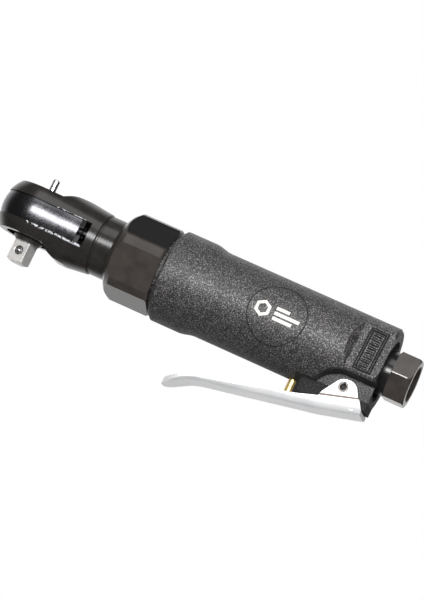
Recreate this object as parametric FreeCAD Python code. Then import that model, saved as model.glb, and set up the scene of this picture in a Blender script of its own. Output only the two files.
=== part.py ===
import FreeCAD, Part

import math
import os

# Pneumatic ratchet wrench with a quarter inch square drive. All lengths are in millimetres.
# Shapes are drawn about the tool's long axis: X runs from the drive to the air inlet, Z is up
# (reverse pin up, square drive down) and Y is across. save() lifts them so that the origin
# of the part is the centre of the square drive's shoulder.

AXIS_Z = 10.5            # height of the long axis above the square drive's shoulder
DRIVE_SQUARE = 6.35      # quarter inch drive, across flats
DRIVE_LENGTH = 8.0
DRIVE_END_R = 2.6        # end face, inside its turned chamfer
DRIVE_TURN = -14.0       # degrees, the square's rest position about Z
DRIVE_CHAMFER = 0.7
BALL_DROP = 3.5          # detent ball, below the shoulder
BALL_R = 1.15
OVERALL_REAR = 147.6     # rear face of the inlet hex

NOSE_R = 14.4            # ratchet head, a sphere that runs into a cone
CONE_START = (1.68, 14.30)
CONE_END = (25.1, 11.52)
HEAD_TOP = 9.2           # flats of the head, measured from the axis
HEAD_BOTTOM = -8.8
RAMP_X = 7.4             # where the flats turn into ramps
RAMP_TOP = (10.9, 11.75, 7.0)
WINDOW_HALF = 4.4        # half height of the slot that holds the yoke
WINDOW_END = 21.7
NECK_R = 11.15
GROOVE_R = 10.75
FLANGE_X = (33.0, 39.0)  # flange that the clamp nut pulls against the grip
FLANGE_R = 13.0

YOKE_HALF = 4.3
YOKE_END = 18.0
YOKE_SINK = 0.4          # how far the yoke stands inside the head's outline
TOOTH_TIP = 9.0          # internal ratchet teeth of the yoke
TOOTH_ROOT = 9.9
TOOTH_COUNT = 30
FORK_HALF = 5.3          # half width of the fork that the crank bushing works in

ANVIL_BODY_R = 8.2
ANVIL_COLLAR_R = 5.5
COLLAR_TAPER_Z = -8.9
ANVIL_JOURNAL_R = 5.95
TOP_BORE_R = 6.0
BOTTOM_BORE_R = 8.6
PIN_R = 1.25             # reverse pin
PIN_TOP = HEAD_TOP + 5.7
SELECTOR_R = 2.6

CRANK_THROW = 1.3
CRANK_JOURNAL_R = 4.97
CRANK_BORE_R = 5.0
CRANK_BEARING_R = 7.0
DRIVE_BUSHING_R = 2.4

MODULE = 0.5             # planetary gears
SUN_TEETH = 12
PLANET_TEETH = 15
RING_TEETH = 42
PLANET_COUNT = 3
PLANET_ORBIT = MODULE * (SUN_TEETH + PLANET_TEETH) / 2
PLANET_PIN_R = 1.25
GEAR_X = (39.4, 46.4)

GRIP_X = (52.3, 137.0)   # motor housing
GRIP_R = 16.0
COLLAR_R = 17.1
COLLAR_END = 63.7
WAIST_X = 69.9
SPIGOT_R = 14.0
BORE_R = 13.0
BORE_END = 95.0

MOTOR_R = 12.95          # parts that slide into the housing's bore
CYLINDER_X = (56.1, 87.9)
CYLINDER_BORE_R = 9.5
CYLINDER_OFFSET = 0.8
ROTOR_R = 8.65
BLADE_COUNT = 4
BLADE_THICKNESS = 1.4
DOWEL_PLACE = (8.0, 8.0)
FRONT_PLATE_X = (50.0, 56.0)
REAR_PLATE_X = (88.0, 94.0)

NUT_X = (31.7, 50.9)     # twelve sided clamp nut
NUT_CORNER_R = 16.5
NUT_CORNER_ANGLE = 24.0  # from the middle of a wide flat
NUT_TURN = 16.0          # a wide flat faces this far below the horizontal

REAR_RIM_X = 135.4       # the far side's lever recess stops here and leaves the rim whole
FACET_DISTANCE = 13.3    # flat beside the inlet, on the near side
FACET_ANGLE = 13.4
FACET_X = (122.4, 125.1)
BADGE_X = 96.3           # shallow round groove on the near side of the grip
BADGE_R = 10.6
BADGE_ANGLE = 4.0

BOSS_HALF = 7.8          # lever boss under the grip
BOSS_FRONT = (110.8, -19.8)
BOSS_REAR = (137.0, -16.2)
ARCH_CENTRE = (126.8, -17.95)
ARCH_R = 11.2
PIVOT = (127.1, -11.75)  # throttle lever pin
LEVER_PIN_R = 1.8
LEVER_HEEL = (136.2, -18.4)   # corners of the lever's underside, some with a radius
LEVER_SAG = (121.0, -22.4, 60.0)
LEVER_KNEE = (76.5, -31.0, 18.0)
LEVER_TIP = (64.0, -38.1)
LEVER_TIP_X = 67.1
SHEET = 1.5              # thickness of the lever's sheet
BEND_R = 3.0
EAR_OUTER = 9.3
LEVER_HALF = 9.8
STEM_X = 108.7           # throttle valve stem
STEM_R = 1.6
STEM_Z = (-22.85, -2.4)
AIR_R = 4.0              # air passage from the valve to the motor

VALVE_X = 112.5          # front of the throttle valve's chamber
CHAMBER_R = 6.0
SEAT_END = 114.0
INLET_THREAD_R = 8.0
INLET_THREAD_X = (122.0, 131.0)
RECESS_R = 11.6
RECESS_WALL = (7.0, -5.5)
INLET_BODY_R = 8.3
INLET_HEX = 17.0
HEX_START = 139.7
INLET_BORE_R = 5.7       # female quarter inch pipe thread
INLET_BORE_END = 134.0

X_AXIS = FreeCAD.Vector(1, 0, 0)
Y_AXIS = FreeCAD.Vector(0, 1, 0)
Z_AXIS = FreeCAD.Vector(0, 0, 1)
CENTRE = FreeCAD.Vector(0, 0, 0)


def vec(x, y, z):
    return FreeCAD.Vector(x, y, z)


def turned(*profile):
    """Solid turned about the long axis from a closed outline of (x, radius) points."""
    points = [vec(x, 0, r) for x, r in profile]
    face = Part.Face(Part.makePolygon(points + points[:1]))
    return face.revolve(CENTRE, X_AXIS, 360)


def rod(x0, x1, radius, y=0.0, z=0.0):
    """Cylinder along X."""
    return Part.makeCylinder(radius, x1 - x0, vec(x0, y, z), X_AXIS)


def tube(x0, x1, outer, inner):
    return rod(x0, x1, outer).cut(rod(x0 - 1, x1 + 1, inner))


def post(z0, z1, radius, x=0.0, y=0.0):
    """Cylinder along Z."""
    return Part.makeCylinder(radius, z1 - z0, vec(x, y, z0), Z_AXIS)


def block(x0, x1, y0, y1, z0, z1):
    return Part.makeBox(x1 - x0, y1 - y0, z1 - z0, vec(x0, y0, z0))


def outline(*corners):
    """Closed wire in the XZ plane through (x, z) corners; a third number rounds a corner."""
    points = [vec(corner[0], 0, corner[1]) for corner in corners]
    starts = []
    ends = []
    edges = []
    for index, corner in enumerate(corners):
        here = points[index]
        radius = corner[2] if len(corner) > 2 else 0.0
        back = (points[index - 1] - here).normalize()
        ahead = (points[(index + 1) % len(points)] - here).normalize()
        half = back.getAngle(ahead) / 2
        reach = radius / math.tan(half)
        starts.append(here + back * reach)
        ends.append(here + ahead * reach)
        if radius:
            middle = here + (back + ahead).normalize() * (radius / math.sin(half) - radius)
            edges.append(Part.Arc(starts[-1], middle, ends[-1]).toShape())
    for index, end in enumerate(ends):
        start = starts[(index + 1) % len(points)]
        if end.distanceToPoint(start) > 1e-6:
            edges.append(Part.makeLine(end, start))
    return Part.Wire(Part.__sortEdges__(edges))


def across(wire, y0, y1):
    """Solid of an XZ outline between two Y values."""
    face = Part.Face(wire)
    face.translate(vec(0, y0, 0))
    return face.extrude(vec(0, y1 - y0, 0))


def turned_about_x(shape, degrees):
    copy = shape.copy()
    copy.rotate(CENTRE, X_AXIS, degrees)
    return copy


def turned_about_z(shape, degrees):
    copy = shape.copy()
    copy.rotate(CENTRE, Z_AXIS, degrees)
    return copy


def mirrored(shape):
    """The same shape on the other side of the tool."""
    return shape.mirror(CENTRE, Y_AXIS)


def regular_prism(x0, x1, corners):
    """Prism along X through corners given as (angle in degrees, radius)."""
    points = []
    for angle, radius in corners:
        a = math.radians(angle)
        points.append(vec(x0, radius * math.cos(a), radius * math.sin(a)))
    return Part.Face(Part.makePolygon(points + points[:1])).extrude(vec(x1 - x0, 0, 0))


def coil(radius, wire_radius, pitch, height):
    """Compression spring along Z from the origin."""
    helix = Part.makeHelix(pitch, height, radius)
    along_wire = vec(0, 2 * math.pi * radius, pitch)
    section = Part.Wire(Part.Circle(vec(radius, 0, 0), along_wire, wire_radius).toShape())
    return Part.Wire(helix).makePipeShell([section], True, True)


def save(name, shape):
    shape = shape.copy()
    shape.translate(vec(0, 0, AXIS_Z))
    if len(shape.Solids) == 1:
        shape = shape.Solids[0]
    if not shape.isValid() or not shape.Solids:
        raise ValueError(f"{name} is not a valid solid")
    shape.exportStep(f"parts/{name}.step")


# Ratchet head

def head_blank(sink=0.0):
    """Outside of the ratchet head without its flats; sink moves the surface inwards."""
    nose = Part.makeSphere(NOSE_R - sink)
    behind = Part.makeBox(60, 60, 60, vec(CONE_START[0], -30, -30))
    nose = nose.cut(behind)
    cone = turned((CONE_START[0], 0), (CONE_START[0], CONE_START[1] - sink),
                  (CONE_END[0] - 0.3, CONE_END[1] + 0.03 - sink),
                  (CONE_END[0], CONE_END[1] - 0.3 - sink), (CONE_END[0], 0))
    return nose.fuse(cone).removeSplitter()


def head_flats():
    """Material above and below the two flats and their ramps."""
    x, z, radius = RAMP_TOP
    upper = outline((-20, HEAD_TOP), (RAMP_X, HEAD_TOP), RAMP_TOP, (24, z + 1.3), (24, 20),
                    (-20, 20))
    lower = outline((-20, HEAD_BOTTOM), (RAMP_X, HEAD_BOTTOM), (x, -z, radius), (24, -z - 1.3),
                    (24, -20), (-20, -20))
    return across(upper, -20, 20).fuse(across(lower, -20, 20))


def ratchet_housing():
    neck = turned((CONE_END[0] - 0.4, 0), (CONE_END[0] - 0.4, GROOVE_R),
                  (CONE_END[0] + 0.6, GROOVE_R), (CONE_END[0] + 0.6, NECK_R - 0.25),
                  (CONE_END[0] + 0.85, NECK_R), (FLANGE_X[0], NECK_R), (FLANGE_X[0], FLANGE_R),
                  (FLANGE_X[1], FLANGE_R), (FLANGE_X[1], 0))
    body = head_blank().fuse(neck).cut(head_flats())
    window = block(-20, WINDOW_END, -20, 20, -WINDOW_HALF, WINDOW_HALF)
    body = body.cut(window)
    body = body.cut(post(0, 12, TOP_BORE_R))
    body = body.cut(post(-12, 0, BOTTOM_BORE_R))
    body = body.cut(post(-7.0, -6.0, BOTTOM_BORE_R + 0.7))
    body = body.cut(rod(WINDOW_END - 1, 35, CRANK_BEARING_R))
    return body.cut(rod(34.2, 40, 11.6))


def ratchet_yoke():
    body = head_blank(YOKE_SINK)
    body = body.common(block(-20, YOKE_END, -20, 20, -YOKE_HALF, YOKE_HALF))
    corners = []
    for tooth in range(TOOTH_COUNT):
        step = 2 * math.pi / TOOTH_COUNT
        tip = tooth * step
        root = tip + step / 2
        corners.append(vec(TOOTH_TIP * math.cos(tip), TOOTH_TIP * math.sin(tip), -YOKE_HALF))
        corners.append(vec(TOOTH_ROOT * math.cos(root), TOOTH_ROOT * math.sin(root), -YOKE_HALF))
    teeth = Part.Face(Part.makePolygon(corners + corners[:1])).extrude(vec(0, 0, 2 * YOKE_HALF))
    body = body.cut(teeth)
    fork = block(11.4, 20, -FORK_HALF, FORK_HALF, -YOKE_HALF, YOKE_HALF)
    return body.cut(fork)


def pawl_pocket(inner, outer, half_angle, half_height):
    """Ring sector about Z on the -X side of the anvil."""
    ring = post(-half_height, half_height, outer).cut(post(-half_height, half_height, inner))
    sector = Part.makeCylinder(20, 2 * half_height, vec(0, 0, -half_height), Z_AXIS,
                               2 * half_angle)
    return ring.common(turned_about_z(sector, 180 - half_angle))


def drive_square():
    half = DRIVE_SQUARE / 2
    top = -AXIS_Z
    end = top - DRIVE_LENGTH
    square = block(-half, half, -half, half, end, top + 1)
    corner_r = half * math.sqrt(2) - 0.15
    corner_limit = Part.makeCone(DRIVE_END_R, corner_r, DRIVE_CHAMFER, vec(0, 0, end), Z_AXIS)
    upper = post(end + DRIVE_CHAMFER, top + 1, corner_r)
    square = square.common(corner_limit.fuse(upper))
    ball_z = top - BALL_DROP
    pocket = Part.makeCylinder(BALL_R + 0.04, half, vec(0, -half - 0.1, ball_z), Y_AXIS)
    dimple = Part.makeCone(BALL_R + 0.6, BALL_R, 0.3, vec(0, -half, ball_z), Y_AXIS)
    return turned_about_z(square.cut(pocket).cut(dimple), DRIVE_TURN)


def ratchet_anvil():
    body = post(-YOKE_HALF, YOKE_HALF, ANVIL_BODY_R)
    body = body.fuse(post(YOKE_HALF, HEAD_TOP - 0.2, ANVIL_JOURNAL_R))
    collar = post(COLLAR_TAPER_Z, -YOKE_HALF, ANVIL_COLLAR_R)
    taper = Part.makeCone(4.3, ANVIL_COLLAR_R, COLLAR_TAPER_Z + AXIS_Z, vec(0, 0, -AXIS_Z),
                          Z_AXIS)
    body = body.fuse(collar).fuse(taper).fuse(drive_square())
    body = body.cut(post(-3.3, 3.3, SELECTOR_R + 0.1))
    body = body.cut(post(0, 12, PIN_R + 0.05))
    body = body.cut(pawl_pocket(5.2, 12, 60, 3.2))
    body = body.cut(pawl_pocket(2.0, 6, 60, 1.4))
    return body.cut(post(-3.8, 3.8, 0.95, x=-6.9))


def pawl():
    body = pawl_pocket(5.45, 8.55, 50, 3.0)
    return body.cut(post(-5, 5, 1.0, x=-6.9))


def pawl_pin():
    return post(-3.8, 3.8, 0.95, x=-6.9)


def reverse_selector():
    barrel = post(-3.2, 3.2, SELECTOR_R)
    barrel = barrel.cut(Part.makeCylinder(1.0, 4, vec(0.6, 0, 0), vec(-1, 0, 0)))
    pin = post(3.0, PIN_TOP - 0.35, PIN_R)
    tip = Part.makeCone(PIN_R, PIN_R - 0.35, 0.35, vec(0, 0, PIN_TOP - 0.35), Z_AXIS)
    return barrel.fuse(pin).fuse(tip).removeSplitter()


def pawl_plunger():
    stem = Part.makeCylinder(0.92, 2.0, vec(-2.3, 0, 0), vec(-1, 0, 0))
    return stem.fuse(Part.makeSphere(0.92, vec(-4.3, 0, 0)))


def pawl_spring():
    spring = coil(0.6, 0.16, 0.55, 2.2)
    spring.rotate(CENTRE, Y_AXIS, -90)
    spring.translate(vec(0.2, 0, 0))
    return spring


def detent_place(shape):
    """Move a shape drawn along -Y at the origin to the ball's place in the square."""
    shape.translate(vec(0, 0, -AXIS_Z - BALL_DROP))
    return turned_about_z(shape, DRIVE_TURN)


def detent_ball():
    return detent_place(Part.makeSphere(BALL_R, vec(0, -DRIVE_SQUARE / 2 + 0.75, 0)))


def detent_spring():
    spring = coil(0.6, 0.15, 0.36, 0.54)
    spring.rotate(CENTRE, X_AXIS, 90)
    spring.translate(vec(0, -0.3, 0))
    return detent_place(spring)


def thrust_washer():
    return post(-5.7, -4.5, BOTTOM_BORE_R - 0.05).cut(post(-6, -4, ANVIL_COLLAR_R + 0.05))


def retaining_ring():
    ring = post(-6.9, -6.1, BOTTOM_BORE_R + 0.6).cut(post(-8, -5, BOTTOM_BORE_R - 1.3))
    return ring.cut(block(0, 12, -2.2, 2.2, -8, -5))


# Crank and planetary gears

def involute(angle):
    return math.tan(angle) - angle


def tooth_half_angle(teeth, radius, play):
    """Half the angle that a tooth takes up at a radius, thinned by the play."""
    pitch_radius = MODULE * teeth / 2
    base_radius = pitch_radius * math.cos(math.radians(20))
    pressure = math.acos(min(1.0, base_radius / max(radius, base_radius)))
    half = math.pi / (2 * teeth) + involute(math.radians(20)) - involute(pressure)
    return half - play / (2 * pitch_radius)


def gear_prism(teeth, root, tip, play, x0, x1, first_angle):
    """Spur gear blank along X, with one tooth pointing at first_angle from +Y."""
    radii = [root, (root + tip) / 2, tip]
    points = []
    for tooth in range(teeth):
        middle = math.radians(first_angle) + 2 * math.pi * tooth / teeth
        lower = [(middle - tooth_half_angle(teeth, r, play), r) for r in radii]
        upper = [(middle + tooth_half_angle(teeth, r, play), r) for r in reversed(radii)]
        for angle, radius in lower + upper:
            points.append(vec(x0, radius * math.cos(angle), radius * math.sin(angle)))
    return Part.Face(Part.makePolygon(points + points[:1])).extrude(vec(x1 - x0, 0, 0))


def planet_angle(index):
    return 90.0 + index * 360.0 / PLANET_COUNT


def planet_centre(index):
    angle = math.radians(planet_angle(index))
    return PLANET_ORBIT * math.cos(angle), PLANET_ORBIT * math.sin(angle)


def ring_gear():
    teeth = gear_prism(RING_TEETH, 10.2, 11.15, -0.08, 38.0, 51.0, 90.0)
    return rod(39.1, 49.8, MOTOR_R).cut(teeth)


def planet_gear(index):
    y, z = planet_centre(index)
    gear = gear_prism(PLANET_TEETH, 3.05, 4.15, 0.07, GEAR_X[0], GEAR_X[1], planet_angle(index))
    gear = gear.cut(rod(GEAR_X[0] - 1, GEAR_X[1] + 1, PLANET_PIN_R + 0.05))
    gear.translate(vec(0, y, z))
    return gear


def planet_pins():
    pins = []
    for index in range(PLANET_COUNT):
        y, z = planet_centre(index)
        pins.append(rod(34.9, 46.8, PLANET_PIN_R, y, z))
    return Part.makeCompound(pins)


def crankshaft():
    shaft = rod(WINDOW_END + 0.2, 34.8, CRANK_JOURNAL_R)
    shaft = shaft.fuse(rod(34.8, 38.4, 11.2))
    shaft = shaft.fuse(rod(12.2, WINDOW_END + 1, 1.45, z=CRANK_THROW))
    for index in range(PLANET_COUNT):
        y, z = planet_centre(index)
        shaft = shaft.cut(rod(34.7, 39, PLANET_PIN_R, y, z))
    return shaft.cut(rod(36.8, 39, 4.5))


def drive_bushing():
    sleeve = turned((12.4, 1.5), (12.4, 1.9), (13.2, DRIVE_BUSHING_R), (16.6, DRIVE_BUSHING_R),
                    (17.4, 1.9), (17.4, 1.5))
    sleeve.translate(vec(0, 0, CRANK_THROW))
    return sleeve


def crank_bearing():
    return tube(WINDOW_END + 0.4, 34.0, CRANK_BEARING_R, CRANK_BORE_R)


# Air motor

def race_balls(x, orbit, radius, count):
    balls = []
    for index in range(count):
        a = 2 * math.pi * index / count
        balls.append(Part.makeSphere(radius, vec(x, orbit * math.cos(a), orbit * math.sin(a))))
    return balls


def outer_race(x0, x1):
    return Part.makeCompound([tube(x0, x1, 9.5, 7.9)] + race_balls((x0 + x1) / 2, 6.75, 1.1, 9))


def end_plate(x0, x1, pocket_x0, pocket_x1, shaft_bore):
    plate = rod(x0, x1, MOTOR_R).cut(rod(x0 - 1, x1 + 1, shaft_bore))
    plate = plate.cut(rod(pocket_x0, pocket_x1, 9.5))
    return plate.cut(rod(x0 - 1, x1 + 1, 1.0, *DOWEL_PLACE))


def rotor():
    body = rod(CYLINDER_X[0] + 0.2, CYLINDER_X[1] - 0.2, ROTOR_R)
    body = body.fuse(rod(50.3, 56.4, 4.0))
    body = body.fuse(rod(87.5, 93.6, 4.0))
    body = body.fuse(gear_prism(SUN_TEETH, 2.35, 3.4, 0.07, 40.0, 50.4, 90.0))
    for index in range(BLADE_COUNT):
        half = BLADE_THICKNESS / 2 + 0.05
        slot = block(56, 88, -half, half, 4.3, 10)
        body = body.cut(turned_about_x(slot, index * 360 / BLADE_COUNT))
    return body


def rotor_blades():
    blades = []
    for index in range(BLADE_COUNT):
        half = BLADE_THICKNESS / 2
        blade = block(CYLINDER_X[0] + 0.3, CYLINDER_X[1] - 0.3, -half, half, 4.5, ROTOR_R - 0.1)
        blades.append(turned_about_x(blade, index * 360 / BLADE_COUNT))
    return Part.makeCompound(blades)


def cylinder():
    body = rod(CYLINDER_X[0], CYLINDER_X[1], MOTOR_R)
    body = body.cut(rod(55, 89, CYLINDER_BORE_R, z=CYLINDER_OFFSET))
    for x in (66.0, 70.0, 74.0, 78.0):
        body = body.cut(block(x - 0.8, x + 0.8, -4, 4, 5, 15))
    body = body.cut(rod(78, 89, 1.2, z=-11.2))
    body = body.cut(post(-11.2, -7, 0.8, x=79.6))
    return body.cut(rod(50, 95, 1.0, *DOWEL_PLACE))


def cylinder_dowel():
    return rod(51.0, 93.0, 0.98, *DOWEL_PLACE)


# Clamp nut and motor housing

def clamp_nut():
    corners = []
    for flat in range(6):
        middle = 180 + NUT_TURN + 60 * flat
        corners.append((middle - NUT_CORNER_ANGLE, NUT_CORNER_R))
        corners.append((middle + NUT_CORNER_ANGLE, NUT_CORNER_R))
    body = regular_prism(NUT_X[0], NUT_X[1], corners)
    limit = turned((NUT_X[0], 0), (NUT_X[0], 11.9), (33.6, 14.8), (36.0, 16.7),
                   (NUT_X[1] - 0.8, 16.7), (NUT_X[1], 16.0), (NUT_X[1], 0))
    body = body.common(limit)
    body = body.cut(rod(NUT_X[0] - 1, 34, NECK_R + 0.3))
    body = body.cut(rod(FLANGE_X[0] - 0.05, 40, FLANGE_R + 0.15))
    return body.cut(rod(FLANGE_X[1], NUT_X[1] + 1, SPIGOT_R + 0.02))


def facet_cut():
    """What the flat beside the inlet takes off, drawn on the -Y side and then tilted."""
    ramp_rise = FACET_X[1] - FACET_X[0]
    points = [(FACET_X[0], FACET_DISTANCE + ramp_rise), (FACET_X[1], FACET_DISTANCE),
              (140, FACET_DISTANCE), (140, 20), (FACET_X[0], 20)]
    corners = [vec(x, -distance, -20) for x, distance in points]
    shape = Part.Face(Part.makePolygon(corners + corners[:1])).extrude(vec(0, 0, 40))
    return turned_about_x(shape, -FACET_ANGLE)


def rounded_plate(x0, x1, z0, z1, radius, y0, y1):
    """Rectangle in the XZ plane with round corners, between two Y values."""
    plate = block(x0, x1, y0, y1, z0, z1)
    edges = [e for e in plate.Edges if abs(e.tangentAt(e.FirstParameter).y) > 0.9]
    return plate.makeFillet(radius, edges)


def facet_marks():
    """Raised frame with plain ribs on the flat, and an arrow head beside it."""
    low = -FACET_DISTANCE - 0.3
    high = -FACET_DISTANCE + 0.3
    frame = rounded_plate(128.0, 134.2, -8.0, 8.0, 1.2, low, high)
    frame = frame.cut(rounded_plate(128.6, 133.6, -7.4, 7.4, 0.7, low - 1, high + 1))
    marks = [frame]
    for index in range(8):
        z = -6.1 + index * 1.743
        length = 3.2 if index % 3 else 2.2
        marks.append(block(131.1 - length / 2, 131.1 + length / 2, low, high, z - 0.28, z + 0.28))
    arrow = outline((135.2, 1.2), (136.0, 0.0), (135.2, -1.2), (134.9, -1.2), (134.9, 1.2))
    marks.append(across(arrow, low, high))
    return [turned_about_x(mark, -FACET_ANGLE) for mark in marks]


def boss_recess(end_x):
    """Recess beside the lever boss; its wall leans outwards towards the surface."""
    def arch(radius, y):
        cx, cz = ARCH_CENTRE
        wire = outline((cx - radius, cz - 8), (cx - radius, cz + radius, radius),
                       (end_x, cz + radius), (end_x, cz - 8))
        wire.translate(vec(0, y, 0))
        return wire
    return Part.makeLoft([arch(ARCH_R - 0.9, -BOSS_HALF), arch(ARCH_R + 0.4, -17.5)], True, True)


def badge_groove():
    width = 0.28
    ring = Part.makeCylinder(BADGE_R + width, 20, vec(BADGE_X, 0, 0), vec(0, -1, 0))
    ring = ring.cut(Part.makeCylinder(BADGE_R - width, 20, vec(BADGE_X, 0, 0), vec(0, -1, 0)))
    return turned_about_x(ring, -BADGE_ANGLE).common(tube(80, 112, 18, GRIP_R - 0.22))


def rear_recess(gap):
    """Round recess about the inlet; two walls close it towards the lever boss."""
    body = rod(INLET_THREAD_X[1], 138, RECESS_R - gap)
    for side in (-1, 1):
        y0, y1 = sorted((side * (RECESS_WALL[0] - gap), side * 15))
        body = body.cut(block(130, 139, y0, y1, -15, RECESS_WALL[1] + gap))
    return body


def grip_blank():
    face_front = [(GRIP_X[0], 0), (GRIP_X[0], COLLAR_R - 0.8), (GRIP_X[0] + 0.8, COLLAR_R)]
    straight = [(COLLAR_END, COLLAR_R)]
    s_curve = []
    steps = 8
    for index in range(1, steps + 1):
        t = index / steps
        blend = t * t * (3 - 2 * t)
        s_curve.append((COLLAR_END + t * (WAIST_X - COLLAR_END),
                        COLLAR_R + blend * (GRIP_R - COLLAR_R)))
    rear = [(GRIP_X[1] - 0.9, GRIP_R), (GRIP_X[1], GRIP_R - 0.9), (GRIP_X[1], 0)]
    return turned(*(face_front + straight + s_curve + rear))


def motor_housing():
    body = grip_blank()
    boss = outline((BOSS_FRONT[0], -9), BOSS_FRONT, BOSS_REAR, (BOSS_REAR[0], -9))
    boss = across(boss, -BOSS_HALF, BOSS_HALF)
    front_edges = [e for e in boss.Edges
                   if abs(e.tangentAt(e.FirstParameter).z) > 0.99
                   and abs(e.BoundBox.Center.x - BOSS_FRONT[0]) < 0.01]
    boss = boss.makeFillet(3.0, front_edges)
    body = body.cut(boss_recess(142)).cut(mirrored(boss_recess(REAR_RIM_X))).cut(facet_cut())
    body = body.fuse(boss)
    for mark in facet_marks():
        body = body.fuse(mark)
    body = body.cut(badge_groove())
    body = body.fuse(rod(FLANGE_X[1] + 0.05, GRIP_X[0] + 1, SPIGOT_R))
    body = body.cut(rod(38, BORE_END, BORE_R))
    body = body.cut(rod(BORE_END - 1, 96.5, 9.0))
    body = body.cut(rod(96, VALVE_X + 1, AIR_R))
    body = body.cut(rod(VALVE_X, INLET_THREAD_X[0] + 1, CHAMBER_R))
    body = body.cut(rod(INLET_THREAD_X[0], 138, INLET_THREAD_R))
    body = body.cut(rear_recess(0.0))
    body = body.cut(block(64, BORE_END, -5, 5, 9, 14.1))
    for y in (-4.2, 4.2):
        body = body.cut(rod(BORE_END - 1, INLET_THREAD_X[1] + 1, 1.7, y, 10.4))
    body = body.cut(post(-30, -1, 3.0, x=STEM_X))
    pin_hole = Part.makeCylinder(LEVER_PIN_R, 40, vec(PIVOT[0], -20, PIVOT[1]), Y_AXIS)
    return body.cut(pin_hole)


def exhaust_diffuser():
    start = INLET_THREAD_X[1] + 0.8
    ring = rear_recess(0.05).common(tube(start, start + 1.8, RECESS_R, 8.45))
    for index in range(16):
        a = math.radians(index * 360 / 16)
        hole = rod(130, 135, 0.6, 10.1 * math.cos(a), 10.1 * math.sin(a))
        ring = ring.cut(hole)
    return ring


def rear_gasket():
    return tube(REAR_PLATE_X[1], BORE_END - 0.05, MOTOR_R, 9.2)


# Throttle

def lever_block():
    """Block whose underside is the lever's web, with the bends rounded."""
    web = outline(LEVER_HEEL, (LEVER_HEEL[0], 0), (LEVER_TIP[0], 0), LEVER_TIP, LEVER_KNEE,
                  LEVER_SAG)
    shape = across(web, -LEVER_HALF, LEVER_HALF)
    bends = [e for e in shape.Edges
             if abs(e.tangentAt(e.FirstParameter).y) < 0.1
             and e.BoundBox.ZMax < -17 and e.BoundBox.XLength > 1.0]
    return shape.makeFillet(BEND_R, bends)


def lever_side():
    """Side of the lever up to the top edges of its flanges."""
    return outline((119.4, -18.4), (134.0, -13.6), (137.0, -18.0), (137.0, -40.0),
                   (60.0, -40.0), (60.0, -38.2), (75.4, -29.5, 14.0), (87.0, -27.0),
                   (112.1, -20.8))


def lever_hollow():
    """Space between the flanges, one sheet thickness above the web."""
    x, z, radius = LEVER_SAG
    rear_slope = (LEVER_HEEL[1] - z) / (LEVER_HEEL[0] - x)
    front_slope = (z - LEVER_KNEE[1]) / (x - LEVER_KNEE[0])
    rear = (142.0, z + SHEET + rear_slope * (142.0 - x))
    front = (85.0, z + SHEET - front_slope * (x - 85.0))
    half = BOSS_HALF + 0.3
    floor = outline((142.0, -5.0), rear, (x, z + SHEET, radius), front, (85.0, -5.0))
    shape = across(floor, -half, half)
    bends = [e for e in shape.Edges
             if abs(e.tangentAt(e.FirstParameter).y) < 0.1
             and e.BoundBox.ZMax < -10 and e.BoundBox.XLength > 3]
    return shape.makeFillet(BEND_R - 1.4, bends)


def lever_ear():
    return outline((120.0, -19.4), (120.6, -16.6, 8.0), (125.4, -9.0, 4.4), (130.7, -8.7, 4.0),
                   (133.6, -13.6, 6.0), (134.6, -16.4), (133.4, -18.0))


def lever_plan():
    """Outline of the lever seen from above, narrowing to a round tip."""
    corners = [vec(141, -LEVER_HALF, -45), vec(104, -LEVER_HALF, -45),
               vec(LEVER_TIP_X, -8.8, -45), vec(LEVER_TIP_X, 8.8, -45),
               vec(104, LEVER_HALF, -45), vec(141, LEVER_HALF, -45)]
    plate = Part.Face(Part.makePolygon(corners + corners[:1])).extrude(vec(0, 0, 45))
    tip_edges = [e for e in plate.Edges
                 if abs(e.tangentAt(e.FirstParameter).z) > 0.99 and e.BoundBox.Center.x < 70]
    return plate.makeFillet(7.2, tip_edges)


def throttle_lever():
    body = lever_block().common(across(lever_side(), -LEVER_HALF, LEVER_HALF))
    body = body.common(lever_plan())
    body = body.fuse(across(lever_ear(), -EAR_OUTER, EAR_OUTER))
    body = body.cut(lever_hollow())
    hole = Part.makeCylinder(LEVER_PIN_R + 0.08, 40, vec(PIVOT[0], -20, PIVOT[1]), Y_AXIS)
    return body.cut(hole)


def lever_pin():
    length = 2 * EAR_OUTER - 0.4
    pin = Part.makeCylinder(LEVER_PIN_R, length, vec(PIVOT[0], -length / 2, PIVOT[1]), Y_AXIS)
    pin = pin.cut(Part.makeCylinder(1.2, 40, vec(PIVOT[0], -20, PIVOT[1]), Y_AXIS))
    slit = block(-0.25, 0.25, -20, 20, 0, 3)
    slit.translate(vec(PIVOT[0], 0, PIVOT[1]))
    return pin.cut(slit)


def valve_stem():
    stem = post(STEM_Z[0] + 0.4, STEM_Z[1], STEM_R, x=STEM_X)
    return stem.fuse(Part.makeCone(STEM_R - 0.4, STEM_R, 0.4, vec(STEM_X, 0, STEM_Z[0]), Z_AXIS))


def stem_bushing():
    sleeve = post(-14.4, -5.0, 3.0, x=STEM_X).cut(post(-16, -4, STEM_R + 0.05, x=STEM_X))
    sleeve = sleeve.cut(post(-10.0, -8.6, STEM_R + 0.82, x=STEM_X))
    mouth = Part.makeCone(2.2, STEM_R, 0.7, vec(STEM_X, 0, -14.4), Z_AXIS)
    return sleeve.cut(mouth)


def stem_oring():
    return Part.makeTorus(STEM_R + 0.42, 0.38, vec(STEM_X, 0, -9.3), Z_AXIS)


def valve_seat():
    return tube(VALVE_X, SEAT_END, CHAMBER_R, 3.2)


def tilt_valve():
    head = rod(SEAT_END + 0.02, SEAT_END + 1.8, 4.4)
    tail = rod(106.2, SEAT_END + 0.5, 0.85)
    return head.fuse(tail)


def valve_spring():
    spring = coil(3.2, 0.45, 1.8, 5.2)
    spring.rotate(CENTRE, Y_AXIS, 90)
    spring.translate(vec(SEAT_END + 2.3, 0, 0))
    return spring


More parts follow.
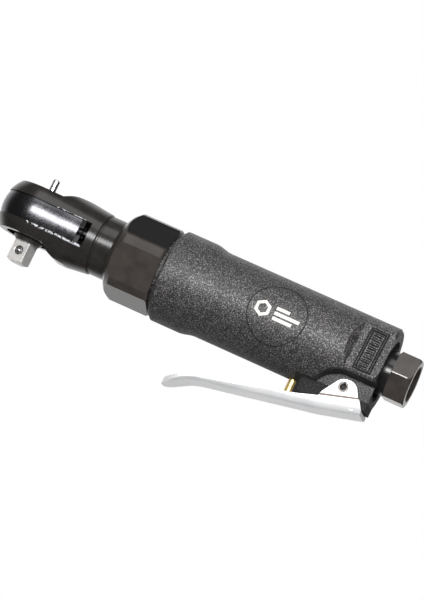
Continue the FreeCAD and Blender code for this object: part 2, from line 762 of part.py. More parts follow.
def inlet_bushing():
    x0, x1 = INLET_THREAD_X
    body = turned((x0 + 0.2, 0), (x0 + 0.2, 7.4), (x0 + 0.8, INLET_THREAD_R),
                  (x1 + 0.8, INLET_THREAD_R), (x1 + 0.8, INLET_BODY_R),
                  (HEX_START + 1, INLET_BODY_R), (HEX_START + 1, 0))
    corner_r = INLET_HEX / 2 / math.cos(math.radians(30))
    corners = [(60 * index, corner_r) for index in range(6)]
    hexagon = regular_prism(HEX_START, OVERALL_REAR, corners)
    limit = turned((HEX_START, 0), (HEX_START, 8.8), (HEX_START + 0.6, 10),
                   (OVERALL_REAR - 0.8, 10), (OVERALL_REAR, 8.7), (OVERALL_REAR, 0))
    body = body.fuse(hexagon.common(limit))
    body = body.cut(rod(INLET_BORE_END, 150, INLET_BORE_R))
    body = body.cut(rod(120, 150, 4.5))
    mouth = turned((OVERALL_REAR - 1.3, 0), (OVERALL_REAR - 1.3, INLET_BORE_R),
                   (OVERALL_REAR + 0.01, 7.0), (OVERALL_REAR + 0.01, 0))
    return body.cut(mouth)


def inlet_gasket():
    return tube(INLET_THREAD_X[1], INLET_THREAD_X[1] + 0.75, 8.8, INLET_THREAD_R + 0.05)


def inlet_screen():
    screen = rod(125.0, 125.5, 4.45)
    screen = screen.fuse(tube(125.0, 128.0, 4.45, 4.0))
    for ring_radius, count in ((0.0, 1), (1.4, 6), (2.8, 12)):
        for index in range(count):
            a = 2 * math.pi * index / count
            y = ring_radius * math.cos(a)
            z = ring_radius * math.sin(a)
            screen = screen.cut(rod(124, 127, 0.45, y, z))
    return screen


def main():
    os.makedirs("parts", exist_ok=True)
    nodes = [ratchet_housing, ratchet_yoke, ratchet_anvil, pawl, pawl_pin, pawl_plunger,
             pawl_spring, reverse_selector, thrust_washer, retaining_ring, detent_ball,
             detent_spring, drive_bushing, crankshaft, crank_bearing, ring_gear, planet_pins,
             rotor, rotor_blades, cylinder, cylinder_dowel, rear_gasket, clamp_nut,
             motor_housing, exhaust_diffuser, throttle_lever, lever_pin, valve_stem,
             stem_bushing, stem_oring, valve_seat, tilt_valve, valve_spring, inlet_bushing,
             inlet_gasket, inlet_screen]
    for node in nodes:
        save(node.__name__, node())
    for index in range(PLANET_COUNT):
        save(f"planet_gear_{index + 1}", planet_gear(index))
    front, rear = FRONT_PLATE_X, REAR_PLATE_X
    save("front_end_plate", end_plate(front[0], front[1], front[0] - 1, front[1] - 0.6, 4.4))
    save("rear_end_plate", end_plate(rear[0], rear[1], rear[0] + 0.6, rear[1] + 1, 4.4))
    save("front_bearing", outer_race(50.3, 55.3))
    save("front_bearing_inner", tube(50.3, 55.3, 5.6, 4.0))
    save("rear_bearing", outer_race(88.7, 93.6))
    save("rear_bearing_inner", tube(88.7, 93.6, 5.6, 4.0))


main()
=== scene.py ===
import math

import bmesh
import bpy
from mathutils import Matrix, Vector


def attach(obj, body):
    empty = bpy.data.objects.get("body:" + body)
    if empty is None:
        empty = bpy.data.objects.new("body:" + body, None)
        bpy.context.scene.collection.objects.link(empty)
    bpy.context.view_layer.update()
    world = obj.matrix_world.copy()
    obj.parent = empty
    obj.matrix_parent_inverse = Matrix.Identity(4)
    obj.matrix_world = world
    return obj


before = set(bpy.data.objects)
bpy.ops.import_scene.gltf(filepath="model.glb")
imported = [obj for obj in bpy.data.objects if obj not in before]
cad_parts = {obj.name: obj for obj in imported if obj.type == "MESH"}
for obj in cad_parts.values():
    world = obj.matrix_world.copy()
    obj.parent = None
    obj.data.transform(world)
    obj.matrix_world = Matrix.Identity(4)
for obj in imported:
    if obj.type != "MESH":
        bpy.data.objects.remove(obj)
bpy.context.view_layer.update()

# Places in metres, in the frame of the CAD model: X towards the air inlet, Z up.
AXIS_Z = 0.0105                  # height of the tool's long axis
AIM = (0.0701, 0.0, 0.0088)      # point that the camera looks at
AZIMUTH = 12.0                   # camera, degrees round from -Y towards +X
ELEVATION = -7.0
ROLL = 25.6
DISTANCE = 1.0
LENS = 170.0
FLOOR_Z = -1.8
FLOOR_HALF = 6.0
FLOOR_GREY = 0.30
FLOOR_GLOW = 0.7

# Light of the world by direction; a rise is the two cosines between which a light comes up
FRONT_LIGHT = 0.06
TOP_LIGHT = 0.03
TOP_RISE = (-0.1, 0.9)
BACK_LIGHT = 1.3
BACK_RISE = (0.3, 0.75)
SIDE_SHADE = 0.12                # what is left of the light from the air inlet's side
SIDE_RISE = (0.3, 0.6)

# Azimuth, elevation, distance, width, height and power of each soft box; the one under the
# tool isn't mirrored in it
SOFTBOXES = {"key": (AZIMUTH - 4, 8, 1.4, 1.45, 0.4, 26),
             "overhead": (AZIMUTH - 10, 53, 1.3, 1.3, 0.75, 5.5),
             "under": (AZIMUTH, -82, 1.2, 1.3, 0.5, 5.5)}

# Below, a place is X and height from the long axis, a span is a middle and half a length,
# and a turn is in degrees about the long axis.

# Marks on the near side of the grip
NEAR_SIDE_Y = -0.008             # what is nearer than this counts as the near side
GRIP_R = 0.016
MARK_R = 0.01605                 # outside of the printed mark
MARK_THICK = 0.00012
BADGE_X = 0.0963
BADGE_R = 0.0106
BADGE_TURN = 4.0
GROOVE_HALF = 0.00026            # half width of the painted shade line in the round groove about the badge
GROOVE_SHADE = 0.7
PLATE_X = 0.1311                 # middle of the raised frame on the flat beside the inlet
PLATE_HALF = (0.0028, 0.0077)
PLATE_TURN = 13.4
FOOT_OFFSET = 0.0004             # painted shade line at the foot of the raised marks
FRAME_FOOT_HALF = 0.0003
RIB_STEP = 0.001743
RIB_FIRST = -0.0061
RIB_FOOT_HALF = 0.00024
RIBS_HALF = (0.0017, 0.0068)     # area that holds the ribs

# Shade about the lever boss and under the grip
ARCH_CENTRE = (0.1268, -0.01795)
ARCH_R = 0.01095
ARCH_WALL_HALF = 0.0007
BOSS_FOOT = (0.1095, -0.0134)    # the boss lies behind and below this place
BOSS_SHADE = 0.8
UNDERSIDE_Z = AXIS_Z - 0.008
UNDERSIDE_SOFT = 0.004
UNDERSIDE_SHADE = 0.3

# Lever, its pin, and the square drive
SEAM_START = (0.1196, -0.0176)   # line at the foot of the lever's ear
SEAM_SLOPE = math.radians(16.5)
SEAM_SPAN = (0.007, 0.0075)      # measured from its start
SEAM_HALF = 0.0004
PIN_PLACE = (0.1271, -0.01175)
PIN_BORE_R = 0.0013
PIN_RIM_R = 0.00178
PIN_RIM_HALF = 0.00014
SQUARE_NEAR_Y = -0.002
SQUARE_TOP_Z = 0.0               # the anvil is painted with shade above this, inside the head
BALL_RING_R = 0.00145
BALL_RING_HALF = 0.00022

# Head, nut and inlet
WINDOW_HALF = 0.0044             # half height of the slot in the head
# burrs along the window: worn bare metal with a painted highlight
UPPER_BURR_SPAN = (0.0125, 0.0065)
UPPER_BURR_HALF = 0.0002
LOWER_BURR_SPAN = (0.0105, 0.0105)
LOWER_BURR_HALF = 0.0007
# painted shade on the nut's top and the inlet's neck
NUT_REAR_X = 0.06
NUT_TOP_Z = AXIS_Z + 0.0063
INLET_NECK_SPAN = (0.12, 0.0197)
# painted highlight along the near corner of the inlet's hex
INLET_CORNER_SPAN = (0.1428, 0.0032)
INLET_CORNER_HALF = 0.0002

# Badge, in millimetres from the middle of the round groove
HEXAGON_X = -5.4
HEXAGON_OUT = 3.1
HEXAGON_IN = 1.9
BARS_X = -0.9
BAR_HALF = 0.6
BARS = ((1.9, 5.0), (0.0, 9.4), (-1.9, 7.2))    # height and length of each

# Width of the broken edges on the machined parts
EDGE_BREAKS = {"clamp_nut": 0.00022, "ratchet_housing": 0.00025, "ratchet_yoke": 0.00015,
               "inlet_bushing": 0.00018}
EDGE_ANGLE = math.radians(20)    # sharper turns than this are broken


def sphere_direction(azimuth, elevation):
    """Unit vector from the object towards a camera or light."""
    a, e = math.radians(azimuth), math.radians(elevation)
    return Vector((math.sin(a) * math.cos(e), -math.cos(a) * math.cos(e), math.sin(e)))


def add_camera():
    """Long lens that looks at the near side, rolled so that the inlet is lower than the head."""
    away = sphere_direction(AZIMUTH, ELEVATION)
    level = Vector((math.cos(math.radians(AZIMUTH)), math.sin(math.radians(AZIMUTH)), 0))
    upright = away.cross(level)
    roll = math.radians(ROLL)
    right = math.cos(roll) * level + math.sin(roll) * upright
    up = away.cross(right)
    data = bpy.data.cameras.new("camera")
    data.lens = LENS
    data.clip_start = 0.01
    data.clip_end = 50
    camera = bpy.data.objects.new("camera", data)
    turn = Matrix((right, up, away)).transposed().to_4x4()
    camera.matrix_world = Matrix.Translation(Vector(AIM) + away * DISTANCE) @ turn
    bpy.context.collection.objects.link(camera)
    bpy.context.scene.camera = camera


# Light

def add_softbox(name, azimuth, elevation, distance, width, height, power):
    """Rectangular light that faces the tool."""
    away = sphere_direction(azimuth, elevation)
    data = bpy.data.lights.new(name, "AREA")
    data.shape = "RECTANGLE"
    data.size = width
    data.size_y = height
    data.energy = power
    light = bpy.data.objects.new(name, data)
    turn = away.to_track_quat("Z", "Y").to_matrix().to_4x4()
    light.matrix_world = Matrix.Translation(Vector(AIM) + away * distance) @ turn
    bpy.context.collection.objects.link(light)
    return light


def direction_mask(tree, direction, rise):
    """Grows from 0 to 1 over a rise of cosines as a ray of the world nears a direction."""
    place = tree.nodes.new("ShaderNodeTexCoord")
    dot = tree.nodes.new("ShaderNodeVectorMath")
    dot.operation = "DOT_PRODUCT"
    dot.inputs[1].default_value = direction
    spread = tree.nodes.new("ShaderNodeMapRange")
    spread.interpolation_type = "SMOOTHSTEP"
    spread.inputs["From Min"].default_value = rise[0]
    spread.inputs["From Max"].default_value = rise[1]
    tree.links.new(place.outputs["Generated"], dot.inputs[0])
    tree.links.new(dot.outputs["Value"], spread.inputs["Value"])
    return spread.outputs["Result"]


def add_world():
    """White to the camera; as light it is bright behind the tool and dark in front of it."""
    world = bpy.data.worlds.new("studio")
    bpy.context.scene.world = world
    world.use_nodes = True
    tree = world.node_tree
    tree.nodes.clear()
    out = tree.nodes.new("ShaderNodeOutputWorld")
    seen = tree.nodes.new("ShaderNodeBackground")
    seen.inputs["Color"].default_value = (1, 1, 1, 1)
    lighting = tree.nodes.new("ShaderNodeBackground")
    behind = direction_mask(tree, -sphere_direction(AZIMUTH, ELEVATION), BACK_RISE)
    above = direction_mask(tree, (0, 0, 1), TOP_RISE)
    total = tree.nodes.new("ShaderNodeMath")
    total.operation = "MULTIPLY_ADD"
    total.inputs[1].default_value = TOP_LIGHT
    total.inputs[2].default_value = FRONT_LIGHT
    tree.links.new(above, total.inputs[0])
    strength = tree.nodes.new("ShaderNodeMath")
    strength.operation = "MULTIPLY_ADD"
    strength.inputs[1].default_value = BACK_LIGHT
    tree.links.new(behind, strength.inputs[0])
    tree.links.new(total.outputs["Value"], strength.inputs[2])
    side = Vector((math.cos(math.radians(AZIMUTH)), math.sin(math.radians(AZIMUTH)), 0))
    beside = direction_mask(tree, side, SIDE_RISE)
    shaded = tree.nodes.new("ShaderNodeMapRange")
    shaded.inputs["To Min"].default_value = 1.0
    shaded.inputs["To Max"].default_value = SIDE_SHADE
    tree.links.new(beside, shaded.inputs["Value"])
    final = tree.nodes.new("ShaderNodeMath")
    final.operation = "MULTIPLY"
    tree.links.new(strength.outputs["Value"], final.inputs[0])
    tree.links.new(shaded.outputs["Result"], final.inputs[1])
    tree.links.new(final.outputs["Value"], lighting.inputs["Strength"])
    path = tree.nodes.new("ShaderNodeLightPath")
    mix = tree.nodes.new("ShaderNodeMixShader")
    tree.links.new(path.outputs["Is Camera Ray"], mix.inputs["Fac"])
    tree.links.new(lighting.outputs["Background"], mix.inputs[1])
    tree.links.new(seen.outputs["Background"], mix.inputs[2])
    tree.links.new(mix.outputs["Shader"], out.inputs["Surface"])


def add_floor():
    """Pale plate far below the tool, left out of its light and its reflections."""
    mesh = bpy.data.meshes.new("floor")
    corners = [(x * FLOOR_HALF, y * FLOOR_HALF, 0) for x, y in ((-1, -1), (1, -1), (1, 1), (-1, 1))]
    mesh.from_pydata(corners, [], [(0, 1, 2, 3)])
    floor = bpy.data.objects.new("floor", mesh)
    floor.location = (AIM[0], 0, FLOOR_Z)
    bpy.context.collection.objects.link(floor)
    material = bpy.data.materials.new("pale_floor")
    material.use_nodes = True
    shader = material.node_tree.nodes["Principled BSDF"]
    shader.inputs["Base Color"].default_value = (FLOOR_GREY, FLOOR_GREY, FLOOR_GREY, 1)
    shader.inputs["Roughness"].default_value = 0.9
    shader.inputs["Emission Color"].default_value = (1, 1, 1, 1)
    shader.inputs["Emission Strength"].default_value = FLOOR_GLOW
    mesh.materials.append(material)
    floor.visible_diffuse = False
    floor.visible_glossy = False


# Materials

class Nodes:
    """Short ways to add the nodes of one material."""

    def __init__(self, name):
        self.material = bpy.data.materials.new(name)
        self.material.use_nodes = True
        self.tree = self.material.node_tree
        self.shader = self.tree.nodes["Principled BSDF"]
        coordinates = self.tree.nodes.new("ShaderNodeTexCoord")
        self.place = coordinates.outputs["Object"]

    def plain(self, **values):
        """Values that are the same all over the surface, set on the shader itself."""
        for name, value in values.items():
            self.shader.inputs[name.replace("_", " ")].default_value = value

    def stretched(self, scale):
        """The place scaled along each axis."""
        mapping = self.tree.nodes.new("ShaderNodeMapping")
        mapping.inputs["Scale"].default_value = scale
        self.tree.links.new(self.place, mapping.inputs["Vector"])
        return mapping.outputs["Vector"]

    def noise(self, scale, detail, roughness, place=None):
        node = self.tree.nodes.new("ShaderNodeTexNoise")
        node.inputs["Scale"].default_value = scale
        node.inputs["Detail"].default_value = detail
        node.inputs["Roughness"].default_value = roughness
        self.tree.links.new(place or self.place, node.inputs["Vector"])
        return node.outputs["Fac"]

    def ramp(self, value, *stops):
        """Colour ramp; a stop is (position, grey) or (position, (r, g, b))."""
        node = self.tree.nodes.new("ShaderNodeValToRGB")
        elements = node.color_ramp.elements
        while len(elements) < len(stops):
            elements.new(0.5)
        for element, (position, colour) in zip(elements, stops):
            rgb = colour if isinstance(colour, tuple) else (colour,) * 3
            element.position = position
            element.color = (*rgb, 1)
        self.tree.links.new(value, node.inputs["Fac"])
        return node.outputs["Color"]

    def turned(self, degrees):
        """X, and height from the long axis, of the place turned about that axis."""
        angle = math.radians(degrees)
        mapping = self.tree.nodes.new("ShaderNodeMapping")
        mapping.inputs["Rotation"].default_value = (angle, 0, 0)
        mapping.inputs["Location"].default_value = (0, AXIS_Z * math.sin(angle),
                                                    -AXIS_Z * math.cos(angle))
        parts = self.tree.nodes.new("ShaderNodeSeparateXYZ")
        self.tree.links.new(self.place, mapping.inputs["Vector"])
        self.tree.links.new(mapping.outputs["Vector"], parts.inputs["Vector"])
        return parts.outputs["X"], parts.outputs["Z"]

    def beyond(self, value, middle, half):
        """Distance of a value from a middle, less a half width."""
        offset = self.math("ABSOLUTE", self.math("SUBTRACT", value, middle), 0.0)
        return self.math("SUBTRACT", offset, half)

    def line(self, distance, offset, half_width):
        """1 where a distance, taken without its sign, is close to an offset."""
        away = self.beyond(self.math("ABSOLUTE", distance, 0.0), offset, 0.0)
        spread = self.tree.nodes.new("ShaderNodeMapRange")
        spread.inputs["From Min"].default_value = half_width * 1.3
        spread.inputs["From Max"].default_value = half_width * 0.7
        self.tree.links.new(away, spread.inputs["Value"])
        return spread.outputs["Result"]

    def within(self, value, span):
        """1 where a value lies in a span."""
        return self.math("LESS_THAN", self.beyond(value, *span), 0.0)

    def radius(self, first, second):
        square = self.math("ADD", self.math("MULTIPLY", first, first),
                           self.math("MULTIPLY", second, second))
        return self.math("SQRT", square, 0.0)

    def near_side(self, limit=NEAR_SIDE_Y):
        """1 on the side of the tool that faces the camera."""
        parts = self.tree.nodes.new("ShaderNodeSeparateXYZ")
        self.tree.links.new(self.place, parts.inputs["Vector"])
        return self.math("LESS_THAN", parts.outputs["Y"], limit)

    def above(self, height, soft=0.0002):
        """1 above a height, 0 below it, with a soft edge."""
        parts = self.tree.nodes.new("ShaderNodeSeparateXYZ")
        self.tree.links.new(self.place, parts.inputs["Vector"])
        spread = self.tree.nodes.new("ShaderNodeMapRange")
        spread.inputs["From Min"].default_value = height - soft
        spread.inputs["From Max"].default_value = height + soft
        self.tree.links.new(parts.outputs["Z"], spread.inputs["Value"])
        return spread.outputs["Result"]

    def math(self, operation, first, second):
        node = self.tree.nodes.new("ShaderNodeMath")
        node.operation = operation
        for socket, value in zip(node.inputs, (first, second)):
            if isinstance(value, (int, float)):
                socket.default_value = value
            else:
                self.tree.links.new(value, socket)
        return node.outputs["Value"]

    def mix(self, amount, first, second):
        node = self.tree.nodes.new("ShaderNodeMix")
        node.data_type = "RGBA"
        self.tree.links.new(amount, node.inputs["Factor"])
        for socket, value in ((node.inputs[6], first), (node.inputs[7], second)):
            if isinstance(value, tuple):
                socket.default_value = (*value, 1)
            else:
                self.tree.links.new(value, socket)
        return node.outputs[2]

    def bump(self, height, strength, distance):
        node = self.tree.nodes.new("ShaderNodeBump")
        node.inputs["Strength"].default_value = strength
        node.inputs["Distance"].default_value = distance
        self.tree.links.new(height, node.inputs["Height"])
        self.tree.links.new(node.outputs["Normal"], self.shader.inputs["Normal"])

    def link(self, value, socket):
        self.tree.links.new(value, self.shader.inputs[socket])


def mark_foot_and_groove_shade(n):
    """Painted shade along the foot of the raised marks and in the round groove of the grip."""
    x, height = n.turned(BADGE_TURN)
    across = n.math("SUBTRACT", x, BADGE_X)
    ring = n.line(n.math("SUBTRACT", n.radius(across, height), BADGE_R), 0.0, GROOVE_HALF)
    x, height = n.turned(PLATE_TURN)
    beside = n.beyond(x, PLATE_X, PLATE_HALF[0])
    frame_edge = n.math("MAXIMUM", beside, n.beyond(height, 0.0, PLATE_HALF[1]))
    border = n.line(frame_edge, FOOT_OFFSET, FRAME_FOOT_HALF)
    rib = n.math("PINGPONG", n.math("SUBTRACT", height, RIB_FIRST), RIB_STEP / 2)
    ribs = n.line(rib, FOOT_OFFSET, RIB_FOOT_HALF)
    ribs = n.math("MULTIPLY", ribs, n.within(x, (PLATE_X, RIBS_HALF[0])))
    ribs = n.math("MULTIPLY", ribs, n.within(height, (0.0, RIBS_HALF[1])))
    groove = n.math("MULTIPLY", ring, GROOVE_SHADE)
    total = n.math("MAXIMUM", groove, n.math("MAXIMUM", border, ribs))
    return n.math("MULTIPLY", total, n.near_side())


def arch_wall(n):
    """1 on the wall of the recess about the lever boss, which the grip coat darkens as painted
    shade.
    """
    x, height = n.turned(0.0)
    across = n.math("MINIMUM", n.math("SUBTRACT", x, ARCH_CENTRE[0]), 0.0)
    up = n.math("SUBTRACT", height, ARCH_CENTRE[1])
    wall = n.line(n.math("SUBTRACT", n.radius(across, up), ARCH_R), 0.0, ARCH_WALL_HALF)
    wall = n.math("MULTIPLY", wall, n.math("GREATER_THAN", up, 0.0))
    return n.math("MULTIPLY", wall, n.near_side())


def grained_coat():
    """Charcoal powder coat with light flecks, with painted shade under the grip, about the marks
    and on the lever boss.
    """
    n = Nodes("grained_coat")
    grain = n.noise(1700, 3, 0.7)
    fleck = n.noise(2300, 3, 0.75)
    coat = n.ramp(fleck, (0.44, (0.005, 0.005, 0.005)), (0.52, (0.022, 0.021, 0.021)),
                  (0.62, (0.26, 0.25, 0.25)))
    n.plain(Specular_IOR_Level=0.6)
    x, height = n.turned(0.0)
    # painted shade on the foot of the lever boss and on the wall of its recess
    foot = n.math("MULTIPLY", n.math("LESS_THAN", height, BOSS_FOOT[1]),
                  n.math("GREATER_THAN", x, BOSS_FOOT[0]))
    shade = n.math("MULTIPLY", n.math("MAXIMUM", foot, arch_wall(n)), BOSS_SHADE)
    # painted shade, fading in softly, under the grip
    underside = n.math("SUBTRACT", 1.0, n.above(UNDERSIDE_Z, UNDERSIDE_SOFT))
    shade = n.math("MAXIMUM", shade, n.math("MULTIPLY", underside, UNDERSIDE_SHADE))
    shade = n.math("MAXIMUM", shade, mark_foot_and_groove_shade(n))
    n.link(n.mix(shade, coat, (0.002, 0.002, 0.002)), "Base Color")
    n.link(n.mix(shade, n.ramp(fleck, (0.3, 0.56), (0.7, 0.38)), (0.95, 0.95, 0.95)),
           "Roughness")
    n.bump(grain, 0.55, 0.00016)
    return n.material


def worn_and_highlighted_black():
    """Gloss black of the head; burrs along the edges of its window show bright, partly as worn bare
    metal and partly as a painted highlight.
    """
    n = Nodes("worn_and_highlighted_black")
    cloud = n.noise(180, 4, 0.6)
    fine = n.noise(3000, 3, 0.6)
    black = n.ramp(cloud, (0.3, (0.016, 0.0145, 0.0135)), (0.7, (0.030, 0.027, 0.025)))
    x, height = n.turned(0.0)
    chips = n.ramp(n.noise(800, 3, 0.75), (0.48, 0.0), (0.52, 1.0))
    upper = n.line(n.math("SUBTRACT", height, WINDOW_HALF), 0.0, UPPER_BURR_HALF)
    upper = n.math("MULTIPLY", upper, n.within(x, UPPER_BURR_SPAN))
    lower = n.line(n.math("ADD", height, WINDOW_HALF), 0.0, LOWER_BURR_HALF)
    lower = n.math("MULTIPLY", lower, n.within(x, LOWER_BURR_SPAN))
    # pale burr lines: wear plus a painted highlight
    burr_wear_and_highlight = n.math("MULTIPLY", n.math("MAXIMUM", upper, lower), chips)
    burr_wear_and_highlight = n.math("MULTIPLY", burr_wear_and_highlight, n.near_side())
    n.link(n.mix(burr_wear_and_highlight, black, (0.72, 0.74, 0.78)), "Base Color")
    n.link(n.ramp(fine, (0.3, 0.16), (0.7, 0.28)), "Roughness")
    n.bump(cloud, 0.05, 0.0002)
    return n.material


def brown_black():
    """Brown oil finish of the nut and the inlet; painted shade makes the nut's top and the inlet's
    neck blacker, and a painted highlight runs along the inlet's corner.
    """
    n = Nodes("brown_black")
    cloud = n.noise(200, 4, 0.6)
    fine = n.noise(3000, 3, 0.6)
    brown = n.ramp(cloud, (0.3, (0.034, 0.029, 0.026)), (0.7, (0.054, 0.046, 0.041)))
    x, height = n.turned(0.0)
    # painted highlight along the near corner of the hex
    corner = n.math("MULTIPLY", n.line(height, 0.0, INLET_CORNER_HALF), n.near_side())
    corner = n.math("MULTIPLY", corner, n.within(x, INLET_CORNER_SPAN))
    # painted shade on the nut's top flat and on the inlet's neck
    top = n.math("MULTIPLY", n.above(NUT_TOP_Z), n.math("LESS_THAN", x, NUT_REAR_X))
    blacker = n.math("MAXIMUM", top, n.within(x, INLET_NECK_SPAN))
    brown = n.mix(blacker, brown, (0.013, 0.012, 0.012))
    n.plain(Specular_IOR_Level=0.7)
    n.link(n.mix(corner, brown, (0.75, 0.72, 0.70)), "Base Color")
    n.link(n.ramp(fine, (0.3, 0.16), (0.7, 0.26)), "Roughness")
    n.bump(cloud, 0.04, 0.0002)
    return n.material


def cream_paint():
    """Pale paint of the printed mark."""
    n = Nodes("cream_paint")
    fine = n.noise(1500, 3, 0.6)
    n.link(n.ramp(fine, (0.3, (0.80, 0.77, 0.68)), (0.7, (0.92, 0.90, 0.82))), "Base Color")
    n.link(n.ramp(fine, (0.3, 0.4), (0.7, 0.55)), "Roughness")
    n.bump(fine, 0.05, 0.0001)
    return n.material


def metal(name, dark, light, rough_low, rough_high, grain=(1, 1, 1), metallic=1.0):
    """Bare metal with a fine grain, which can be stretched along an axis."""
    n = Nodes(name)
    place = n.stretched(grain)
    fine = n.noise(2500, 4, 0.6, place)
    cloud = n.noise(120, 3, 0.5)
    n.plain(Metallic=metallic)
    n.link(n.ramp(cloud, (0.3, dark), (0.7, light)), "Base Color")
    n.link(n.ramp(fine, (0.3, rough_low), (0.7, rough_high)), "Roughness")
    n.bump(fine, 0.04, 0.0001)
    return n.material


def satin_chrome():
    """Pale satin plating of the lever, with the dark line at the foot of its ear."""
    n = Nodes("satin_chrome")
    fine = n.noise(2500, 3, 0.6)
    cloud = n.noise(90, 3, 0.5)
    x, height = n.turned(0.0)
    along = n.math("SUBTRACT", x, SEAM_START[0])
    up = n.math("SUBTRACT", height, SEAM_START[1])
    off = n.math("SUBTRACT", n.math("MULTIPLY", up, math.cos(SEAM_SLOPE)),
                 n.math("MULTIPLY", along, math.sin(SEAM_SLOPE)))
    seam = n.math("MULTIPLY", n.line(off, 0.0, SEAM_HALF), n.near_side())
    seam = n.math("MULTIPLY", seam, n.within(along, SEAM_SPAN))
    pale = n.ramp(cloud, (0.3, (0.80, 0.81, 0.82)), (0.7, (0.90, 0.90, 0.91)))
    n.plain(Metallic=0.25)
    n.link(n.mix(seam, pale, (0.09, 0.06, 0.045)), "Base Color")
    n.link(n.ramp(fine, (0.3, 0.34), (0.7, 0.44)), "Roughness")
    n.bump(fine, 0.02, 0.0001)
    return n.material


def drive_steel():
    """Satin steel square with painted shade in a ring about its ball and painted shade above,
    inside the head.
    """
    n = Nodes("drive_steel")
    fine = n.noise(2500, 4, 0.6, n.stretched((1, 1, 0.3)))
    cloud = n.noise(260, 3, 0.5)
    satin = n.ramp(cloud, (0.3, (0.62, 0.60, 0.58)), (0.7, (0.84, 0.82, 0.80)))
    dark = n.ramp(cloud, (0.3, (0.05, 0.047, 0.045)), (0.7, (0.10, 0.095, 0.09)))
    n.plain(Metallic=0.35)
    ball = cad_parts["detent_ball"]
    corners = [ball.matrix_world @ Vector(corner) for corner in ball.bound_box]
    centre = sum(corners, Vector()) / len(corners)
    x, height = n.turned(0.0)
    from_ball = n.radius(n.math("SUBTRACT", x, centre.x),
                         n.math("SUBTRACT", height, centre.z - AXIS_Z))
    # painted shade in the gap about the detent ball
    ring = n.line(from_ball, BALL_RING_R, BALL_RING_HALF)
    ring = n.math("MULTIPLY", ring, n.near_side(SQUARE_NEAR_Y))
    marked = n.mix(ring, satin, (0.05, 0.045, 0.045))
    # painted shade on the anvil above SQUARE_TOP_Z, inside the head
    n.link(n.mix(n.above(SQUARE_TOP_Z), marked, dark), "Base Color")
    n.link(n.ramp(fine, (0.3, 0.32), (0.7, 0.46)), "Roughness")
    n.bump(fine, 0.04, 0.0001)
    return n.material


def roll_pin_steel():
    """Blued steel of the hollow lever pin, with painted shade that makes it black inside its bore
    and at its rim.
    """
    n = Nodes("roll_pin_steel")
    fine = n.noise(2500, 4, 0.6)
    x, height = n.turned(0.0)
    across = n.math("SUBTRACT", x, PIN_PLACE[0])
    up = n.math("SUBTRACT", height, PIN_PLACE[1])
    from_axis = n.radius(across, up)
    # painted shade inside the bore and at the rim of the pin
    bore = n.math("LESS_THAN", from_axis, PIN_BORE_R)
    rim = n.line(from_axis, PIN_RIM_R, PIN_RIM_HALF)
    blued = n.ramp(fine, (0.3, (0.12, 0.11, 0.10)), (0.7, (0.20, 0.18, 0.165)))
    n.plain(Metallic=0.8)
    n.link(n.mix(n.math("MAXIMUM", bore, rim), blued, (0.004, 0.004, 0.004)), "Base Color")
    n.link(n.ramp(fine, (0.3, 0.3), (0.7, 0.45)), "Roughness")
    n.bump(fine, 0.04, 0.0001)
    return n.material


def dull(name, dark, light):
    """Rubber, fibre or plastic."""
    n = Nodes(name)
    fine = n.noise(1800, 4, 0.6)
    n.link(n.ramp(fine, (0.3, dark), (0.7, light)), "Base Color")
    n.link(n.ramp(fine, (0.3, 0.6), (0.7, 0.8)), "Roughness")
    n.bump(fine, 0.15, 0.0001)
    return n.material


def assign(material, *nodes):
    for name in nodes:
        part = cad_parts[name]
        part.data.materials.clear()
        part.data.materials.append(material)


def dress_parts():
    """Give each CAD node its material."""
    assign(grained_coat(), "motor_housing")
    assign(worn_and_highlighted_black(), "ratchet_housing")
    assign(brown_black(), "clamp_nut", "inlet_bushing")
    assign(metal("yoke_steel", (0.10, 0.10, 0.11), (0.16, 0.16, 0.17), 0.20, 0.33,
                 (0.3, 1, 1)), "ratchet_yoke")
    assign(drive_steel(), "ratchet_anvil")
    assign(metal("bright_steel", (0.52, 0.52, 0.53), (0.68, 0.68, 0.69), 0.3, 0.42),
           "reverse_selector", "detent_ball", "pawl_pin", "planet_pins", "front_bearing",
           "front_bearing_inner", "rear_bearing", "rear_bearing_inner", "cylinder_dowel",
           "thrust_washer")
    assign(metal("tool_steel", (0.22, 0.22, 0.23), (0.34, 0.34, 0.35), 0.3, 0.45), "pawl",
           "pawl_plunger", "crankshaft", "ring_gear", "planet_gear_1", "planet_gear_2",
           "planet_gear_3", "rotor", "front_end_plate", "rear_end_plate")
    assign(metal("cylinder_iron", (0.12, 0.12, 0.12), (0.2, 0.2, 0.2), 0.4, 0.6), "cylinder")
    assign(metal("spring_steel", (0.3, 0.3, 0.31), (0.42, 0.42, 0.43), 0.28, 0.4),
           "pawl_spring", "detent_spring", "valve_spring", "retaining_ring")
    assign(metal("bronze", (0.10, 0.068, 0.035), (0.17, 0.12, 0.065), 0.35, 0.5),
           "drive_bushing", "crank_bearing")
    assign(metal("brass", (0.80, 0.58, 0.22), (0.92, 0.72, 0.34), 0.26, 0.38, metallic=0.6),
           "valve_stem", "stem_bushing", "tilt_valve")
    assign(satin_chrome(), "throttle_lever")
    assign(roll_pin_steel(), "lever_pin")
    assign(metal("screen_steel", (0.3, 0.3, 0.3), (0.4, 0.4, 0.4), 0.4, 0.5), "inlet_screen")
    assign(dull("rubber", (0.012, 0.012, 0.012), (0.03, 0.03, 0.03)), "stem_oring",
           "valve_seat")
    assign(dull("fibre", (0.12, 0.10, 0.07), (0.2, 0.17, 0.12)), "rear_gasket",
           "inlet_gasket")
    assign(dull("blade_resin", (0.14, 0.07, 0.03), (0.2, 0.11, 0.05)), "rotor_blades")
    assign(dull("vent_plastic", (0.01, 0.01, 0.01), (0.02, 0.02, 0.02)), "exhaust_diffuser")


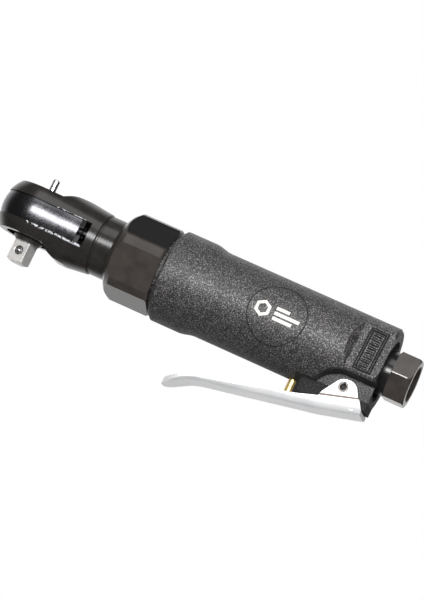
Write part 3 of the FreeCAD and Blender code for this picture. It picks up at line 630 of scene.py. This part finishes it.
def add_badge_mark():
    """Pale hexagon with three bars, printed on the grip inside the round groove."""
    panels = []
    for side in range(6):
        corners = []
        for angle, radius in ((0, HEXAGON_OUT), (60, HEXAGON_OUT), (60, HEXAGON_IN),
                              (0, HEXAGON_IN)):
            turn = math.radians(60 * side + 30 + angle)
            corners.append((radius * math.cos(turn) + HEXAGON_X, radius * math.sin(turn)))
        panels.append(corners)
    for height, length in BARS:
        low, high = height - BAR_HALF, height + BAR_HALF
        end = BARS_X + length
        panels.append([(BARS_X, low), (end, low), (end, high), (BARS_X, high)])
    shell = bmesh.new()
    steps = 5                    # squares along each side of a panel
    for panel in panels:
        grid = {}
        for row in range(steps + 1):
            for column in range(steps + 1):
                r, c = row / steps, column / steps
                weights = ((1 - c) * (1 - r), c * (1 - r), c * r, (1 - c) * r)
                x, run = (sum(w * corner[axis] for w, corner in zip(weights, panel)) / 1000
                          for axis in (0, 1))
                angle = math.radians(BADGE_TURN) + run / GRIP_R
                place = (BADGE_X + x, -MARK_R * math.cos(angle), AXIS_Z + MARK_R * math.sin(angle))
                grid[row, column] = shell.verts.new(place)
        for row in range(steps):
            for column in range(steps):
                corners = ((row, column), (row, column + 1), (row + 1, column + 1),
                           (row + 1, column))
                shell.faces.new([grid[corner] for corner in corners])
    bmesh.ops.remove_doubles(shell, verts=shell.verts, dist=0.000005)
    mesh = bpy.data.meshes.new("badge_mark")
    shell.to_mesh(mesh)
    shell.free()
    mark = bpy.data.objects.new("badge_mark", mesh)
    bpy.context.collection.objects.link(mark)
    mesh.materials.append(cream_paint())
    solid = mark.modifiers.new("thickness", "SOLIDIFY")
    solid.thickness = MARK_THICK
    solid.offset = -1.0
    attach(mark, "tool_body")


def soften_edges():
    """Break the sharp machined edges so that they catch the light."""
    for name, width in EDGE_BREAKS.items():
        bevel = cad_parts[name].modifiers.new("edge_break", "BEVEL")
        bevel.width = width
        bevel.segments = 2
        bevel.limit_method = "ANGLE"
        bevel.angle_limit = EDGE_ANGLE
        bevel.harden_normals = True
        # the bushing's short edges would hold all of its breaks to nothing
        bevel.use_clamp_overlap = name != "inlet_bushing"


add_camera()
add_world()
add_floor()
for name, values in SOFTBOXES.items():
    softbox = add_softbox(name, *values)
    softbox.visible_glossy = name != "under"
dress_parts()
add_badge_mark()
soften_edges()
bpy.context.scene.view_settings.view_transform = "Standard"
